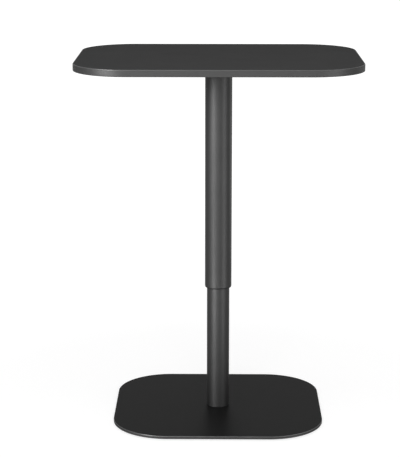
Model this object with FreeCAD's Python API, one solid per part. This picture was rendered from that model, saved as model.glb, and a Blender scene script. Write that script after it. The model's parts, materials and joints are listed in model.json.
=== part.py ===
"""A height-adjustable pedestal table: a rounded panel on a telescoping column over a flat steel plate.

The outer tube hangs from the panel and slides down over the inner tube, which stands on the plate.
A locking gas spring inside the column carries the panel, and a lever under the panel presses its pin.
Sizes are millimetres. +Z is up, -Y is the front, and the origin is on the floor under the column.
The table is drawn part way up its travel, at the height that INNER_TUBE_SHOWING sets.
"""
import FreeCAD
import Part
import math
import os

# Clearances that the fits share
RUNNING_GAP = 0.06
FIXED_GAP = 0.04
STOP_GAP = 0.3
BOLT_GAP = 0.3
CUT_OVERRUN = 1.0

# Table panel
TOP_WIDTH = 620.0
TOP_DEPTH = 476.0
TOP_THICKNESS = 15.0
TOP_CORNER_RADIUS = 119.0
TOP_ARRIS_RADIUS = 1.2

# Base plate
BASE_WIDTH = 468.0
BASE_DEPTH = 432.0
BASE_THICKNESS = 6.35
BASE_CORNER_RADIUS = 123.0
BASE_ARRIS_RADIUS = 0.8

# Glides pressed into the underside of the base plate
GLIDE_STAND = 3.0
GLIDE_RADIUS = 16.0
GLIDE_CHAMFER = 1.0
GLIDE_STEM_RADIUS = 4.0
GLIDE_HOLE_COVER = 2.0
GLIDE_EDGE_INSET = 30.0

# Column tubes and their guide bushes
INNER_TUBE_OD = 50.8
INNER_TUBE_WALL = 2.0
GUIDE_BUSH_WALL = 2.5
OUTER_TUBE_WALL = 2.0
OUTER_TUBE_LENGTH = 500.0
TUBE_ARRIS_RADIUS = 0.7
LOWER_BUSH_LENGTH = 40.0
LOWER_BUSH_RECESS = 0.8
UPPER_BUSH_LENGTH = 30.0
BUSH_LIP_THICKNESS = 3.0
BUSH_LIP_WIDTH = 8.0
KEY_WIDTH = 8.0
KEY_SIDE_GAP = 0.15
KEY_TUBE_GAP = 0.5
KEY_END_GAP = 4.0

# Travel of the column
INNER_TUBE_SHOWING = 282.0
LOWERED_GAP = 20.0
UP_TRAVEL = 38.0

# Foot plug in the inner tube, and the countersunk bolts that hold it to the plate
FOOT_HEIGHT = 14.0
FOOT_BOLT_COUNT = 4
FOOT_BOLT_RADIUS = 3.0
FOOT_BOLT_HEAD_RADIUS = 6.0
FOOT_BOLT_EDGE_INSET = 7.9
FOOT_BOLT_COVER = 3.5
FOOT_BOLT_SOCKET_FLATS = 4.0
FOOT_BOLT_SOCKET_DEPTH = 2.2

# Gas spring
CYLINDER_OD = 28.0
CYLINDER_WALL = 1.5
CYLINDER_LIP = 1.5
CYLINDER_MOUTH_GAP = 3.0
CYLINDER_RECESS = 30.0
END_PLUG_THICKNESS = 8.0
STUD_RADIUS = 5.0
STUD_COVER = 3.0
ROD_RADIUS = 5.0
ROD_TAIL_RADIUS = 4.0
ROD_GUIDE_LENGTH = 20.0
SEAL_HEIGHT = 6.0
SEAL_WIDTH = 4.0
PISTON_LENGTH = 18.0
PISTON_SIDE_GAP = 0.15
PISTON_RING_HEIGHT = 3.0
PISTON_RING_DEPTH = 2.2
STEADY_HEIGHT = 12.0
STEADY_DROP = 20.0
PIN_RADIUS = 1.5
PIN_SIDE_GAP = 0.1
PIN_TRAVEL = 2.5
PIN_SPARE = 1.5
PIN_TIP_GAP = 0.2
VALVE_HEAD_RADIUS = 2.8
VALVE_HEAD_HEIGHT = 2.0
VALVE_GAP = 0.1

# Anchor plug in the top of the outer tube, with the rod's lock nut and the stop bumper under it
ANCHOR_THICKNESS = 12.0
ROD_PROUD = 3.0
NUT_FLATS = 17.0
NUT_HEIGHT = 5.0
NUT_CHAMFER = 0.8
BUMPER_THICKNESS = 10.0
BUMPER_SIDE_GAP = 3.5
BUMPER_NUT_GAP = 1.5
BUMPER_ARRIS_RADIUS = 1.5

# Mounting plate between the column and the panel, with its screws and the panel's threaded inserts
MOUNT_WIDTH = 260.0
MOUNT_DEPTH = 200.0
MOUNT_THICKNESS = 5.0
MOUNT_CORNER_RADIUS = 24.0
MOUNT_ARRIS_RADIUS = 0.6
MOUNT_SCREW_INSET = 18.0
MOUNT_SCREW_RADIUS = 3.0
MOUNT_SCREW_HEAD_RADIUS = 5.25
MOUNT_SCREW_HEAD_HEIGHT = 3.3
MOUNT_SCREW_SOCKET_FLATS = 4.0
MOUNT_SCREW_COLUMNS = 3
INSERT_WALL = 1.4
INSERT_COVER = 5.0
INSERT_END_GAP = 2.0

# Release lever, its grip, its bracket under the mounting plate and its pivot
LEVER_BOSS_GAP = 2.5
LEVER_THICKNESS = 4.0
LEVER_FINGER_HEIGHT = 8.0
LEVER_ARM_HEIGHT = 10.0
LEVER_TANG_HEIGHT = 5.0
LEVER_BOSS_RADIUS = 8.0
LEVER_NOSE_LENGTH = 5.0
LEVER_EDGE_SETBACK = 40.0
LEVER_WINDOW_GAP = 1.0
GRIP_LENGTH = 70.0
GRIP_DEPTH = 36.0
GRIP_WALL = 3.0
GRIP_CORNER_RADIUS = 12.0
GRIP_ARRIS_RADIUS = 3.0
GRIP_END_WALL = 8.0
BRACKET_OFFSET = 28.0
BRACKET_WEB_WIDTH = 22.0
BRACKET_WEB_DEPTH = 52.0
BRACKET_SHEET = 2.5
BRACKET_EAR_RADIUS = 7.0
BRACKET_SIDE_GAP = 0.4
BRACKET_CORNER_RADIUS = 5.0
BRACKET_SCREW_INSET = 8.0
BRACKET_SCREW_RADIUS = 2.5
BRACKET_SCREW_HEAD_RADIUS = 4.75
BRACKET_SCREW_HEAD_HEIGHT = 2.75
BRACKET_SCREW_SOCKET_FLATS = 3.0
BRACKET_SCREW_END_GAP = 0.5
PIVOT_RADIUS = 3.0
PIVOT_END = 2.0
CLIP_THICKNESS = 0.8
CLIP_WIDTH = 2.6
CLIP_GROOVE_DEPTH = 0.6
CLIP_SIDE_GAP = 0.05

# Radii of the nested column, from the inner tube outwards
INNER_RADIUS = INNER_TUBE_OD / 2
INNER_BORE = INNER_RADIUS - INNER_TUBE_WALL
OUTER_BORE = INNER_RADIUS + RUNNING_GAP + GUIDE_BUSH_WALL + FIXED_GAP
OUTER_RADIUS = OUTER_BORE + OUTER_TUBE_WALL
CYLINDER_RADIUS = CYLINDER_OD / 2
CYLINDER_BORE = CYLINDER_RADIUS - CYLINDER_WALL
FOOT_BOLT_CIRCLE = INNER_BORE - FOOT_BOLT_EDGE_INSET

# Levels from the floor up to the panel
PLATE_BOTTOM = GLIDE_STAND
PLATE_TOP = PLATE_BOTTOM + BASE_THICKNESS
OUTER_TUBE_BOTTOM = PLATE_TOP + INNER_TUBE_SHOWING
OUTER_TUBE_TOP = OUTER_TUBE_BOTTOM + OUTER_TUBE_LENGTH
MOUNT_TOP = OUTER_TUBE_TOP + MOUNT_THICKNESS
PANEL_TOP = MOUNT_TOP + TOP_THICKNESS
DOWN_TRAVEL = INNER_TUBE_SHOWING - LOWERED_GAP

# Levels from the lever down to the inner tube, which meets the bumper when the table is lowered
LEVER_LEVEL = OUTER_TUBE_TOP - BRACKET_SHEET - LEVER_BOSS_GAP - LEVER_BOSS_RADIUS
FINGER_BOTTOM = LEVER_LEVEL - LEVER_FINGER_HEIGHT / 2
PIN_TIP = FINGER_BOTTOM - PIN_TIP_GAP
ROD_TOP = PIN_TIP - PIN_TRAVEL - PIN_SPARE
ANCHOR_TOP = ROD_TOP - ROD_PROUD
ANCHOR_BOTTOM = ANCHOR_TOP - ANCHOR_THICKNESS
BUMPER_BOTTOM = ANCHOR_BOTTOM - BUMPER_THICKNESS
INNER_TUBE_TOP = BUMPER_BOTTOM - DOWN_TRAVEL - STOP_GAP - BUSH_LIP_THICKNESS

# Levels inside the gas spring, whose piston meets the rod guide when the table is raised
CYLINDER_BOTTOM = PLATE_TOP + FOOT_HEIGHT
CYLINDER_TOP = INNER_TUBE_TOP - CYLINDER_RECESS
GUIDE_TOP = CYLINDER_TOP - CYLINDER_LIP
GUIDE_BOTTOM = GUIDE_TOP - ROD_GUIDE_LENGTH
PISTON_TOP = GUIDE_BOTTOM - STOP_GAP - UP_TRAVEL
PISTON_BOTTOM = PISTON_TOP - PISTON_LENGTH

# Places of the lever
LEVER_PIVOT_X = OUTER_RADIUS + BRACKET_OFFSET
LEVER_ANGLE = math.asin(PIN_TRAVEL / LEVER_PIVOT_X)
GRIP_END_X = TOP_WIDTH / 2 - LEVER_EDGE_SETBACK
LEVER_END_X = GRIP_END_X - GRIP_END_WALL
EAR_INNER_Y = LEVER_THICKNESS / 2 + BRACKET_SIDE_GAP
EAR_OUTER_Y = EAR_INNER_Y + BRACKET_SHEET

UP = FreeCAD.Vector(0, 0, 1)
BACK = FreeCAD.Vector(0, 1, 0)


def cylinder(radius, low, high, x=0, y=0):
    """An upright cylinder between two levels."""
    return Part.makeCylinder(radius, high - low, FreeCAD.Vector(x, y, low), UP)


def cross_cylinder(radius, y_low, y_high, x, z):
    """A cylinder that lies along Y."""
    return Part.makeCylinder(radius, y_high - y_low, FreeCAD.Vector(x, y_low, z), BACK)


def ring(outer, inner, low, high):
    """An upright tube between two levels."""
    return cylinder(outer, low, high).cut(cylinder(inner, low - CUT_OVERRUN, high + CUT_OVERRUN))


def block(x_low, x_high, y_low, y_high, z_low, z_high):
    """A box between two corners."""
    corner = FreeCAD.Vector(x_low, y_low, z_low)
    return Part.makeBox(x_high - x_low, y_high - y_low, z_high - z_low, corner)


def turned(profile, x=0, y=0):
    """A solid turned about an upright axis from a closed outline of (radius, level) points."""
    points = [FreeCAD.Vector(radius, 0, level) for radius, level in profile]
    face = Part.Face(Part.makePolygon(points + points[:1]))
    solid = face.revolve(FreeCAD.Vector(0, 0, 0), UP, 360)
    solid.translate(FreeCAD.Vector(x, y, 0))
    return solid


def hexagon(flats, low, high, x=0, y=0):
    """An upright six-sided prism, sized across its flats."""
    corner = flats / math.sqrt(3)
    turns = [math.radians(60 * side) for side in range(6)]
    points = [FreeCAD.Vector(x + corner * math.cos(t), y + corner * math.sin(t), low) for t in turns]
    return Part.Face(Part.makePolygon(points + points[:1])).extrude(UP * (high - low))


def edges_at(shape, level):
    """The edges of a shape that lie flat at one level."""
    near = FIXED_GAP / 2
    return [e for e in shape.Edges
            if abs(e.BoundBox.ZMin - level) < near and abs(e.BoundBox.ZMax - level) < near]


def slab(width, depth, corner_radius, low, high, arris_radius=0, x=0):
    """A flat plate with round corners, centred on X and Y, and small round-overs on both arrises."""
    plate = block(x - width / 2, x + width / 2, -depth / 2, depth / 2, low, high)
    uprights = [e for e in plate.Edges if e.BoundBox.ZLength > (high - low) / 2]
    plate = plate.makeFillet(corner_radius, uprights)
    if arris_radius:
        plate = plate.makeFillet(arris_radius, edges_at(plate, low) + edges_at(plate, high))
    return plate


def button_screw(radius, head_radius, head_height, socket_flats, seat, tip, x, y):
    """A screw with a domed head under its seat and its shank pointing up."""
    head = cylinder(head_radius, seat - head_height, seat, x, y)
    dome = min(head_height, head_radius - socket_flats / math.sqrt(3)) / 2
    head = head.makeFillet(dome, edges_at(head, seat - head_height))
    socket = hexagon(socket_flats, seat - head_height - CUT_OVERRUN, seat - head_height / 2, x, y)
    return head.fuse(cylinder(radius, seat, tip, x, y)).cut(socket).removeSplitter()


def mount_screw_places():
    """Centres of the screws that hold the mounting plate to the panel."""
    reach_x = MOUNT_WIDTH / 2 - MOUNT_SCREW_INSET
    reach_y = MOUNT_DEPTH / 2 - MOUNT_SCREW_INSET
    steps = MOUNT_SCREW_COLUMNS - 1
    columns = [reach_x * (2 * column / steps - 1) for column in range(MOUNT_SCREW_COLUMNS)]
    return [(x, side * reach_y) for side in (-1, 1) for x in columns]


def bracket_screw_places():
    """Centres of the screws that hold the lever bracket to the mounting plate."""
    reach_y = BRACKET_WEB_DEPTH / 2 - BRACKET_SCREW_INSET
    return [(LEVER_PIVOT_X, side * reach_y) for side in (-1, 1)]


def foot_bolt_places():
    """Centres of the bolts that hold the foot plug to the base plate."""
    turns = [2 * math.pi * (bolt + 0.5) / FOOT_BOLT_COUNT for bolt in range(FOOT_BOLT_COUNT)]
    return [(FOOT_BOLT_CIRCLE * math.cos(t), FOOT_BOLT_CIRCLE * math.sin(t)) for t in turns]


def glide_places():
    """Centres of the glides, one inside each round corner of the base plate."""
    reach = (BASE_CORNER_RADIUS - GLIDE_EDGE_INSET) / math.sqrt(2)
    x = BASE_WIDTH / 2 - BASE_CORNER_RADIUS + reach
    y = BASE_DEPTH / 2 - BASE_CORNER_RADIUS + reach
    return {"front_left": (-x, -y), "front_right": (x, -y), "rear_left": (-x, y), "rear_right": (x, y)}


def table_top():
    """The panel, with blind holes for the threaded inserts in its underside."""
    panel = slab(TOP_WIDTH, TOP_DEPTH, TOP_CORNER_RADIUS, MOUNT_TOP, PANEL_TOP, TOP_ARRIS_RADIUS)
    radius = MOUNT_SCREW_RADIUS + FIXED_GAP + INSERT_WALL + FIXED_GAP
    hole_top = PANEL_TOP - INSERT_COVER + STOP_GAP
    for x, y in mount_screw_places():
        panel = panel.cut(cylinder(radius, MOUNT_TOP - CUT_OVERRUN, hole_top, x, y))
    return panel


def top_inserts():
    """Threaded inserts, flush with the panel's underside."""
    bore = MOUNT_SCREW_RADIUS + FIXED_GAP
    top = PANEL_TOP - INSERT_COVER
    profile = [(bore, MOUNT_TOP), (bore + INSERT_WALL, MOUNT_TOP), (bore + INSERT_WALL, top), (bore, top)]
    return Part.makeCompound([turned(profile, x, y) for x, y in mount_screw_places()])


def mounting_plate():
    """The steel plate on top of the column, drilled for the panel screws and the bracket screws."""
    plate = slab(MOUNT_WIDTH, MOUNT_DEPTH, MOUNT_CORNER_RADIUS, OUTER_TUBE_TOP, MOUNT_TOP,
                 MOUNT_ARRIS_RADIUS)
    low = OUTER_TUBE_TOP - CUT_OVERRUN
    high = MOUNT_TOP + CUT_OVERRUN
    for x, y in mount_screw_places():
        plate = plate.cut(cylinder(MOUNT_SCREW_RADIUS + BOLT_GAP, low, high, x, y))
    for x, y in bracket_screw_places():
        plate = plate.cut(cylinder(BRACKET_SCREW_RADIUS + FIXED_GAP, low, high, x, y))
    return plate


def mounting_screws():
    """Button-head screws from under the mounting plate into the inserts."""
    tip = PANEL_TOP - INSERT_COVER - INSERT_END_GAP
    return Part.makeCompound([
        button_screw(MOUNT_SCREW_RADIUS, MOUNT_SCREW_HEAD_RADIUS, MOUNT_SCREW_HEAD_HEIGHT,
                     MOUNT_SCREW_SOCKET_FLATS, OUTER_TUBE_TOP, tip, x, y)
        for x, y in mount_screw_places()])


def outer_tube():
    """The upper tube, with a softened lower end and a window for the lever just under the plate."""
    tube = ring(OUTER_RADIUS, OUTER_BORE, OUTER_TUBE_BOTTOM, OUTER_TUBE_TOP)
    arris = min(TUBE_ARRIS_RADIUS, OUTER_TUBE_WALL / 3)
    tube = tube.makeFillet(arris, edges_at(tube, OUTER_TUBE_BOTTOM))
    side = LEVER_THICKNESS / 2 + LEVER_WINDOW_GAP
    swing = (LEVER_PIVOT_X - OUTER_BORE) * math.sin(LEVER_ANGLE)
    low = FINGER_BOTTOM - swing - LEVER_WINDOW_GAP
    high = LEVER_LEVEL + LEVER_FINGER_HEIGHT / 2 + STOP_GAP
    return tube.cut(block(0, OUTER_RADIUS + CUT_OVERRUN, -side, side, low, high))


def outer_tube_bush():
    """The guide sleeve fixed in the lower end of the outer tube, which runs on the inner tube."""
    low = OUTER_TUBE_BOTTOM + LOWER_BUSH_RECESS
    return ring(OUTER_BORE - FIXED_GAP, INNER_RADIUS + RUNNING_GAP, low, low + LOWER_BUSH_LENGTH)


def guide_key():
    """The strip welded inside the outer tube, opposite the lever, that keeps the panel from turning."""
    low = OUTER_TUBE_BOTTOM + LOWER_BUSH_RECESS + LOWER_BUSH_LENGTH + KEY_END_GAP
    high = ANCHOR_BOTTOM - KEY_END_GAP
    outside = OUTER_BORE - FIXED_GAP
    strip = block(-outside, 0, -KEY_WIDTH / 2, KEY_WIDTH / 2, low, high)
    return ring(outside, INNER_RADIUS + KEY_TUBE_GAP, low, high).common(strip)


def inner_tube_bush():
    """The capped guide sleeve on top of the inner tube, notched for the guide key."""
    sleeve_bore = INNER_RADIUS + FIXED_GAP
    outside = OUTER_BORE - RUNNING_GAP
    low = INNER_TUBE_TOP - UPPER_BUSH_LENGTH
    high = INNER_TUBE_TOP + BUSH_LIP_THICKNESS
    mouth = INNER_RADIUS - BUSH_LIP_WIDTH
    profile = [(sleeve_bore, low), (outside, low), (outside, high), (mouth, high),
               (mouth, INNER_TUBE_TOP), (sleeve_bore, INNER_TUBE_TOP)]
    side = KEY_WIDTH / 2 + KEY_SIDE_GAP
    notch = block(-outside - CUT_OVERRUN, -INNER_BORE, -side, side, low - CUT_OVERRUN, high + CUT_OVERRUN)
    return turned(profile).cut(notch)


def inner_tube():
    """The lower tube, standing on the base plate."""
    return ring(INNER_RADIUS, INNER_BORE, PLATE_TOP, INNER_TUBE_TOP)


def tube_foot():
    """The plug welded into the foot of the inner tube, tapped for the bolts and the gas spring's stud."""
    plug = cylinder(INNER_BORE - FIXED_GAP, PLATE_TOP, CYLINDER_BOTTOM)
    for x, y in foot_bolt_places():
        hole = cylinder(FOOT_BOLT_RADIUS + FIXED_GAP, PLATE_TOP - CUT_OVERRUN,
                        CYLINDER_BOTTOM + CUT_OVERRUN, x, y)
        plug = plug.cut(hole)
    stud_hole = cylinder(STUD_RADIUS + FIXED_GAP, PLATE_TOP + STUD_COVER - STOP_GAP,
                         CYLINDER_BOTTOM + CUT_OVERRUN)
    return plug.cut(stud_hole)


def countersunk_bolt(gap, tip, x, y):
    """A countersunk bolt flush with the underside of the plate, or its hole when a gap is given."""
    head = FOOT_BOLT_HEAD_RADIUS + gap
    shank = FOOT_BOLT_RADIUS + gap
    neck = PLATE_BOTTOM + head - shank
    return turned([(0, PLATE_BOTTOM), (head, PLATE_BOTTOM), (shank, neck), (shank, tip), (0, tip)], x, y)


def foot_bolts():
    """The bolts through the base plate into the foot plug."""
    tip = CYLINDER_BOTTOM - FOOT_BOLT_COVER
    bolts = []
    for x, y in foot_bolt_places():
        socket = hexagon(FOOT_BOLT_SOCKET_FLATS, PLATE_BOTTOM - CUT_OVERRUN,
                         PLATE_BOTTOM + FOOT_BOLT_SOCKET_DEPTH, x, y)
        bolts.append(countersunk_bolt(0, tip, x, y).cut(socket))
    return Part.makeCompound(bolts)


def base_plate():
    """The floor plate, countersunk for the foot bolts and drilled from below for the glides."""
    plate = slab(BASE_WIDTH, BASE_DEPTH, BASE_CORNER_RADIUS, PLATE_BOTTOM, PLATE_TOP, BASE_ARRIS_RADIUS)
    for x, y in foot_bolt_places():
        plate = plate.cut(countersunk_bolt(FIXED_GAP, PLATE_TOP + CUT_OVERRUN, x, y))
    for x, y in glide_places().values():
        hole = cylinder(GLIDE_STEM_RADIUS + FIXED_GAP, PLATE_BOTTOM - CUT_OVERRUN,
                        PLATE_TOP - GLIDE_HOLE_COVER, x, y)
        plate = plate.cut(hole)
    return plate


def glide(x, y):
    """A floor glide with a chamfered pad and a stem pressed into the plate."""
    stem_top = PLATE_TOP - GLIDE_HOLE_COVER - STOP_GAP
    profile = [(0, 0), (GLIDE_RADIUS - GLIDE_CHAMFER, 0), (GLIDE_RADIUS, GLIDE_CHAMFER),
               (GLIDE_RADIUS, PLATE_BOTTOM), (GLIDE_STEM_RADIUS, PLATE_BOTTOM),
               (GLIDE_STEM_RADIUS, stem_top), (0, stem_top)]
    return turned(profile, x, y)


def gas_cylinder():
    """The gas spring's cylinder, its ends rolled inwards."""
    floor = CYLINDER_BOTTOM + CYLINDER_LIP
    foot_mouth = STUD_RADIUS + CYLINDER_MOUTH_GAP
    rod_mouth = ROD_RADIUS + CYLINDER_MOUTH_GAP
    return turned([(foot_mouth, CYLINDER_BOTTOM), (CYLINDER_RADIUS, CYLINDER_BOTTOM),
                   (CYLINDER_RADIUS, CYLINDER_TOP), (rod_mouth, CYLINDER_TOP), (rod_mouth, GUIDE_TOP),
                   (CYLINDER_BORE, GUIDE_TOP), (CYLINDER_BORE, floor), (foot_mouth, floor)])


def cylinder_end_plug():
    """The plug that closes the cylinder, with the stud that screws into the foot."""
    floor = CYLINDER_BOTTOM + CYLINDER_LIP
    plug = CYLINDER_BORE - FIXED_GAP
    return turned([(0, PLATE_TOP + STUD_COVER), (STUD_RADIUS, PLATE_TOP + STUD_COVER), (STUD_RADIUS, floor),
                   (plug, floor), (plug, floor + END_PLUG_THICKNESS), (0, floor + END_PLUG_THICKNESS)])


def rod_guide():
    """The bearing at the top of the cylinder, with a pocket for the rod seal."""
    bore = ROD_RADIUS + RUNNING_GAP
    pocket = bore + SEAL_WIDTH + FIXED_GAP
    outside = CYLINDER_BORE - FIXED_GAP
    return turned([(bore, GUIDE_BOTTOM), (outside, GUIDE_BOTTOM), (outside, GUIDE_TOP), (pocket, GUIDE_TOP),
                   (pocket, GUIDE_TOP - SEAL_HEIGHT), (bore, GUIDE_TOP - SEAL_HEIGHT)])


def rod_seal():
    """The lip seal under the cylinder's rolled end."""
    bore = ROD_RADIUS + RUNNING_GAP
    return ring(bore + SEAL_WIDTH, bore, GUIDE_TOP - SEAL_HEIGHT, GUIDE_TOP)


def cylinder_steady():
    """The ring that centres the cylinder in the inner tube."""
    high = CYLINDER_TOP - STEADY_DROP
    return ring(INNER_BORE - FIXED_GAP, CYLINDER_RADIUS + FIXED_GAP, high - STEADY_HEIGHT, high)


def piston_rod():
    """The hollow rod, screwed into the anchor at its top and riveted into the piston at its tail."""
    bore = PIN_RADIUS + PIN_SIDE_GAP
    return turned([(bore, PISTON_BOTTOM), (ROD_TAIL_RADIUS, PISTON_BOTTOM), (ROD_TAIL_RADIUS, PISTON_TOP),
                   (ROD_RADIUS, PISTON_TOP), (ROD_RADIUS, ROD_TOP), (bore, ROD_TOP)])


def piston():
    """The piston on the rod's tail, grooved for its ring."""
    bore = ROD_TAIL_RADIUS + FIXED_GAP
    outside = CYLINDER_BORE - PISTON_SIDE_GAP
    middle = (PISTON_BOTTOM + PISTON_TOP) / 2
    half_groove = PISTON_RING_HEIGHT / 2 + FIXED_GAP
    groove = outside - PISTON_RING_DEPTH
    return turned([(bore, PISTON_BOTTOM), (outside, PISTON_BOTTOM), (outside, middle - half_groove),
                   (groove, middle - half_groove), (groove, middle + half_groove),
                   (outside, middle + half_groove), (outside, PISTON_TOP), (bore, PISTON_TOP)])


def piston_ring():
    """The sealing ring in the piston's groove."""
    middle = (PISTON_BOTTOM + PISTON_TOP) / 2
    inside = CYLINDER_BORE - PISTON_SIDE_GAP - PISTON_RING_DEPTH + FIXED_GAP
    half = PISTON_RING_HEIGHT / 2
    return ring(CYLINDER_BORE - RUNNING_GAP, inside, middle - half, middle + half)


def release_pin():
    """The push pin through the hollow rod, with the valve head at its foot."""
    seat = PISTON_BOTTOM - VALVE_GAP
    return turned([(0, seat - VALVE_HEAD_HEIGHT), (VALVE_HEAD_RADIUS, seat - VALVE_HEAD_HEIGHT),
                   (VALVE_HEAD_RADIUS, seat), (PIN_RADIUS, seat), (PIN_RADIUS, PIN_TIP), (0, PIN_TIP)])


def rod_anchor():
    """The plug welded into the outer tube that holds the rod."""
    return ring(OUTER_BORE - FIXED_GAP, ROD_RADIUS + FIXED_GAP, ANCHOR_BOTTOM, ANCHOR_TOP)


def rod_lock_nut():
    """The thin nut that locks the rod under the anchor."""
    low = ANCHOR_BOTTOM - NUT_HEIGHT
    corner = NUT_FLATS / math.sqrt(3)
    chamfered = turned([(0, low), (corner - NUT_CHAMFER, low), (corner, low + NUT_CHAMFER),
                        (corner, ANCHOR_BOTTOM), (0, ANCHOR_BOTTOM)])
    nut = hexagon(NUT_FLATS, low, ANCHOR_BOTTOM).common(chamfered)
    return nut.cut(cylinder(ROD_RADIUS + FIXED_GAP, low - CUT_OVERRUN, ANCHOR_BOTTOM + CUT_OVERRUN))


def stop_bumper():
    """The rubber ring that meets the inner tube's bush when the table is lowered."""
    inside = NUT_FLATS / math.sqrt(3) + BUMPER_NUT_GAP
    bumper = ring(OUTER_BORE - BUMPER_SIDE_GAP, inside, BUMPER_BOTTOM, ANCHOR_BOTTOM)
    return bumper.makeFillet(BUMPER_ARRIS_RADIUS, edges_at(bumper, BUMPER_BOTTOM))


def lever_bracket():
    """The bracket under the mounting plate: a web with two ears that carry the lever's pivot."""
    low = OUTER_TUBE_TOP - BRACKET_SHEET
    bracket = slab(BRACKET_WEB_WIDTH, BRACKET_WEB_DEPTH, BRACKET_CORNER_RADIUS, low, OUTER_TUBE_TOP,
                   x=LEVER_PIVOT_X)
    for y_low in (-EAR_OUTER_Y, EAR_INNER_Y):
        y_high = y_low + BRACKET_SHEET
        ear = block(LEVER_PIVOT_X - BRACKET_EAR_RADIUS, LEVER_PIVOT_X + BRACKET_EAR_RADIUS,
                    y_low, y_high, LEVER_LEVEL, low)
        bracket = bracket.fuse(ear)
        bracket = bracket.fuse(cross_cylinder(BRACKET_EAR_RADIUS, y_low, y_high, LEVER_PIVOT_X, LEVER_LEVEL))
    reach = EAR_OUTER_Y + CUT_OVERRUN
    pivot_hole = cross_cylinder(PIVOT_RADIUS + FIXED_GAP, -reach, reach, LEVER_PIVOT_X, LEVER_LEVEL)
    bracket = bracket.cut(pivot_hole)
    for x, y in bracket_screw_places():
        hole = cylinder(BRACKET_SCREW_RADIUS + BOLT_GAP, low - CUT_OVERRUN,
                        OUTER_TUBE_TOP + CUT_OVERRUN, x, y)
        bracket = bracket.cut(hole)
    return bracket.removeSplitter()


def bracket_screws():
    """Button-head screws from under the bracket into the mounting plate."""
    seat = OUTER_TUBE_TOP - BRACKET_SHEET
    tip = MOUNT_TOP - BRACKET_SCREW_END_GAP
    return Part.makeCompound([
        button_screw(BRACKET_SCREW_RADIUS, BRACKET_SCREW_HEAD_RADIUS, BRACKET_SCREW_HEAD_HEIGHT,
                     BRACKET_SCREW_SOCKET_FLATS, seat, tip, x, y)
        for x, y in bracket_screw_places()])


def clip_band(side):
    """The inner and outer Y of the clip groove on one side of the bracket."""
    near = side * EAR_OUTER_Y
    far = side * (EAR_OUTER_Y + CLIP_THICKNESS)
    return min(near, far), max(near, far)


def lever_pivot():
    """The pivot pin across the bracket's ears, grooved at both ends for its clips."""
    reach = EAR_OUTER_Y + CLIP_THICKNESS + PIVOT_END
    pin = cross_cylinder(PIVOT_RADIUS, -reach, reach, LEVER_PIVOT_X, LEVER_LEVEL)
    for side in (-1, 1):
        y_low, y_high = clip_band(side)
        core = PIVOT_RADIUS - CLIP_GROOVE_DEPTH
        collar = cross_cylinder(PIVOT_RADIUS + CUT_OVERRUN, y_low, y_high, LEVER_PIVOT_X, LEVER_LEVEL)
        pin = pin.cut(collar.cut(cross_cylinder(core, y_low, y_high, LEVER_PIVOT_X, LEVER_LEVEL)))
    return pin


def pivot_clips():
    """The open spring clips that keep the pivot pin in the bracket."""
    core = PIVOT_RADIUS - CLIP_GROOVE_DEPTH
    clips = []
    for side in (-1, 1):
        y_low, y_high = clip_band(side)
        clip = cross_cylinder(core + CLIP_WIDTH, y_low, y_high, LEVER_PIVOT_X, LEVER_LEVEL)
        clip = clip.cut(cross_cylinder(core + CLIP_SIDE_GAP, y_low, y_high, LEVER_PIVOT_X, LEVER_LEVEL))
        mouth = block(LEVER_PIVOT_X - core, LEVER_PIVOT_X + core, y_low, y_high,
                      LEVER_LEVEL - core - CLIP_WIDTH, LEVER_LEVEL)
        clips.append(clip.cut(mouth))
    return Part.makeCompound(clips)


def lever_bar(x_low, x_high, height, gap=0):
    """A straight stretch of the lever, grown by a gap where it is used as a pocket."""
    side = LEVER_THICKNESS / 2 + gap
    half = height / 2 + gap
    return block(x_low, x_high + gap, -side, side, LEVER_LEVEL - half, LEVER_LEVEL + half)


def release_lever():
    """The flat steel lever on edge: a finger over the release pin, a boss, a long arm and a tang."""
    side = LEVER_THICKNESS / 2
    lever = lever_bar(-LEVER_NOSE_LENGTH, LEVER_PIVOT_X, LEVER_FINGER_HEIGHT)
    lever = lever.fuse(lever_bar(LEVER_PIVOT_X, GRIP_END_X - GRIP_LENGTH, LEVER_ARM_HEIGHT))
    lever = lever.fuse(lever_bar(LEVER_PIVOT_X, LEVER_END_X, LEVER_TANG_HEIGHT))
    lever = lever.fuse(cross_cylinder(LEVER_FINGER_HEIGHT / 2, -side, side, -LEVER_NOSE_LENGTH, LEVER_LEVEL))
    lever = lever.fuse(cross_cylinder(LEVER_BOSS_RADIUS, -side, side, LEVER_PIVOT_X, LEVER_LEVEL))
    reach = side + CUT_OVERRUN
    hole = cross_cylinder(PIVOT_RADIUS + RUNNING_GAP, -reach, reach, LEVER_PIVOT_X, LEVER_LEVEL)
    return lever.cut(hole).removeSplitter()


def lever_grip():
    """The moulded paddle pushed over the lever's tang."""
    half = LEVER_TANG_HEIGHT / 2 + GRIP_WALL
    grip = slab(GRIP_LENGTH, GRIP_DEPTH, GRIP_CORNER_RADIUS, LEVER_LEVEL - half, LEVER_LEVEL + half,
                GRIP_ARRIS_RADIUS, GRIP_END_X - GRIP_LENGTH / 2)
    return grip.cut(lever_bar(LEVER_PIVOT_X, LEVER_END_X, LEVER_TANG_HEIGHT, FIXED_GAP))


def build():
    """Every piece of the table, by the name of its node."""
    pieces = {maker.__name__: maker() for maker in (
        table_top, top_inserts, mounting_plate, mounting_screws, outer_tube, outer_tube_bush, guide_key,
        inner_tube_bush, inner_tube, tube_foot, foot_bolts, base_plate, gas_cylinder, cylinder_end_plug,
        rod_guide, rod_seal, cylinder_steady, piston_rod, piston, piston_ring, release_pin, rod_anchor,
        rod_lock_nut, stop_bumper, lever_bracket, bracket_screws, lever_pivot, pivot_clips, release_lever,
        lever_grip)}
    for corner, (x, y) in glide_places().items():
        pieces["glide_" + corner] = glide(x, y)
    return pieces


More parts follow.
